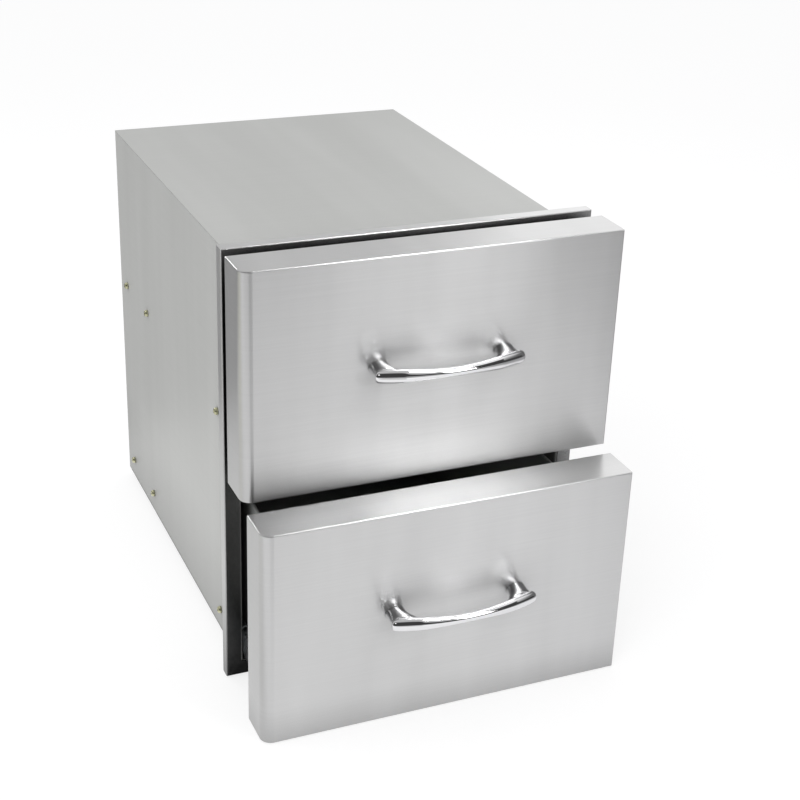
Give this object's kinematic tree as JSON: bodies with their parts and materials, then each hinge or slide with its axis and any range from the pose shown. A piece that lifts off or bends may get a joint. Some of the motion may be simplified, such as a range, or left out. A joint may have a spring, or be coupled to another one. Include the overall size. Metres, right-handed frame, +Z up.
{
  "type": "outdoor kitchen drawer unit",
  "caption": "Built-in stainless steel drawer unit for an outdoor kitchen island, with deep folded fronts, bow handles and telescopic ball-bearing slides.",
  "frame": {"origin": "bottom centre of the face frame, in the plane where the frame seats on the island wall", "axes": "+X to the right seen from the front, +Y back into the island, +Z up; the drawers open towards -Y"},
  "size_m": [0.435, 0.7078, 0.524],
  "materials": {
    "brushed_stainless": "brushed, grain across the front",
    "mill_stainless": "mill finish sheet",
    "chrome": "polished chrome plate",
    "zinc_plate": "bright zinc plate",
    "cage_steel": "plain steel strip",
    "bearing_steel": "polished",
    "yellow_zinc": "yellow chromate zinc",
    "screw_steel": "satin",
    "rubber": "matte"
  },
  "bodies": {
    "cabinet": {"cabinet_back": "mill_stainless", "cabinet_bottom": "mill_stainless", "cabinet_left_side": "mill_stainless", "cabinet_right_side": "mill_stainless", "cabinet_top": "mill_stainless", "face_frame": "brushed_stainless", "left_slide_screws": "yellow_zinc", "lower_left_outer_rail": "zinc_plate", "lower_right_outer_rail": "zinc_plate", "right_slide_screws": "yellow_zinc", "upper_left_outer_rail": "zinc_plate", "upper_right_outer_rail": "zinc_plate"},
    "lower_drawer": {"lower_drawer_back_wall": "mill_stainless", "lower_drawer_bottom": "mill_stainless", "lower_drawer_bumpers": "rubber", "lower_drawer_front_liner": "mill_stainless", "lower_drawer_front_screws": "screw_steel", "lower_drawer_front_skin": "brushed_stainless", "lower_drawer_handle": "chrome", "lower_drawer_handle_screws": "screw_steel", "lower_drawer_left_wall": "mill_stainless", "lower_drawer_rail_screws": "screw_steel", "lower_drawer_right_wall": "mill_stainless", "lower_left_inner_rail": "zinc_plate", "lower_right_inner_rail": "zinc_plate"},
    "lower_inner_cages": {"lower_left_inner_balls": "bearing_steel", "lower_left_inner_cage": "cage_steel", "lower_right_inner_balls": "bearing_steel", "lower_right_inner_cage": "cage_steel"},
    "lower_middle_rails": {"lower_left_middle_rail": "zinc_plate", "lower_right_middle_rail": "zinc_plate"},
    "lower_outer_cages": {"lower_left_outer_balls": "bearing_steel", "lower_left_outer_cage": "cage_steel", "lower_right_outer_balls": "bearing_steel", "lower_right_outer_cage": "cage_steel"},
    "upper_drawer": {"upper_drawer_back_wall": "mill_stainless", "upper_drawer_bottom": "mill_stainless", "upper_drawer_bumpers": "rubber", "upper_drawer_front_liner": "mill_stainless", "upper_drawer_front_screws": "screw_steel", "upper_drawer_front_skin": "brushed_stainless", "upper_drawer_handle": "chrome", "upper_drawer_handle_screws": "screw_steel", "upper_drawer_left_wall": "mill_stainless", "upper_drawer_rail_screws": "screw_steel", "upper_drawer_right_wall": "mill_stainless", "upper_left_inner_rail": "zinc_plate", "upper_right_inner_rail": "zinc_plate"},
    "upper_inner_cages": {"upper_left_inner_balls": "bearing_steel", "upper_left_inner_cage": "cage_steel", "upper_right_inner_balls": "bearing_steel", "upper_right_inner_cage": "cage_steel"},
    "upper_middle_rails": {"upper_left_middle_rail": "zinc_plate", "upper_right_middle_rail": "zinc_plate"},
    "upper_outer_cages": {"upper_left_outer_balls": "bearing_steel", "upper_left_outer_cage": "cage_steel", "upper_right_outer_balls": "bearing_steel", "upper_right_outer_cage": "cage_steel"}
  },
  "joints": [
    {"name": "upper_drawer_slide", "type": "slide", "parent": "cabinet", "child": "upper_drawer", "axis": [0, -1, 0], "range_m": [-0.017, 0.463]},
    {"name": "upper_outer_cages_travel", "type": "slide", "parent": "cabinet", "child": "upper_outer_cages", "axis": [0, -1, 0], "range_m": [-0.00425, 0.11575]},
    {"name": "upper_middle_rails_travel", "type": "slide", "parent": "cabinet", "child": "upper_middle_rails", "axis": [0, -1, 0], "range_m": [-0.0085, 0.2315]},
    {"name": "upper_inner_cages_travel", "type": "slide", "parent": "cabinet", "child": "upper_inner_cages", "axis": [0, -1, 0], "range_m": [-0.01275, 0.34725]},
    {"name": "lower_drawer_slide", "type": "slide", "parent": "cabinet", "child": "lower_drawer", "axis": [0, -1, 0], "range_m": [-0.083, 0.397]},
    {"name": "lower_outer_cages_travel", "type": "slide", "parent": "cabinet", "child": "lower_outer_cages", "axis": [0, -1, 0], "range_m": [-0.02075, 0.09925]},
    {"name": "lower_middle_rails_travel", "type": "slide", "parent": "cabinet", "child": "lower_middle_rails", "axis": [0, -1, 0], "range_m": [-0.0415, 0.1985]},
    {"name": "lower_inner_cages_travel", "type": "slide", "parent": "cabinet", "child": "lower_inner_cages", "axis": [0, -1, 0], "range_m": [-0.06225, 0.29775]}
  ],
  "couplings": [
    {"joint": "upper_outer_cages_travel", "follows": "upper_drawer_slide", "ratio": 0.25},
    {"joint": "upper_middle_rails_travel", "follows": "upper_drawer_slide", "ratio": 0.5},
    {"joint": "upper_inner_cages_travel", "follows": "upper_drawer_slide", "ratio": 0.75},
    {"joint": "lower_outer_cages_travel", "follows": "lower_drawer_slide", "ratio": 0.25},
    {"joint": "lower_middle_rails_travel", "follows": "lower_drawer_slide", "ratio": 0.5},
    {"joint": "lower_inner_cages_travel", "follows": "lower_drawer_slide", "ratio": 0.75}
  ]
}
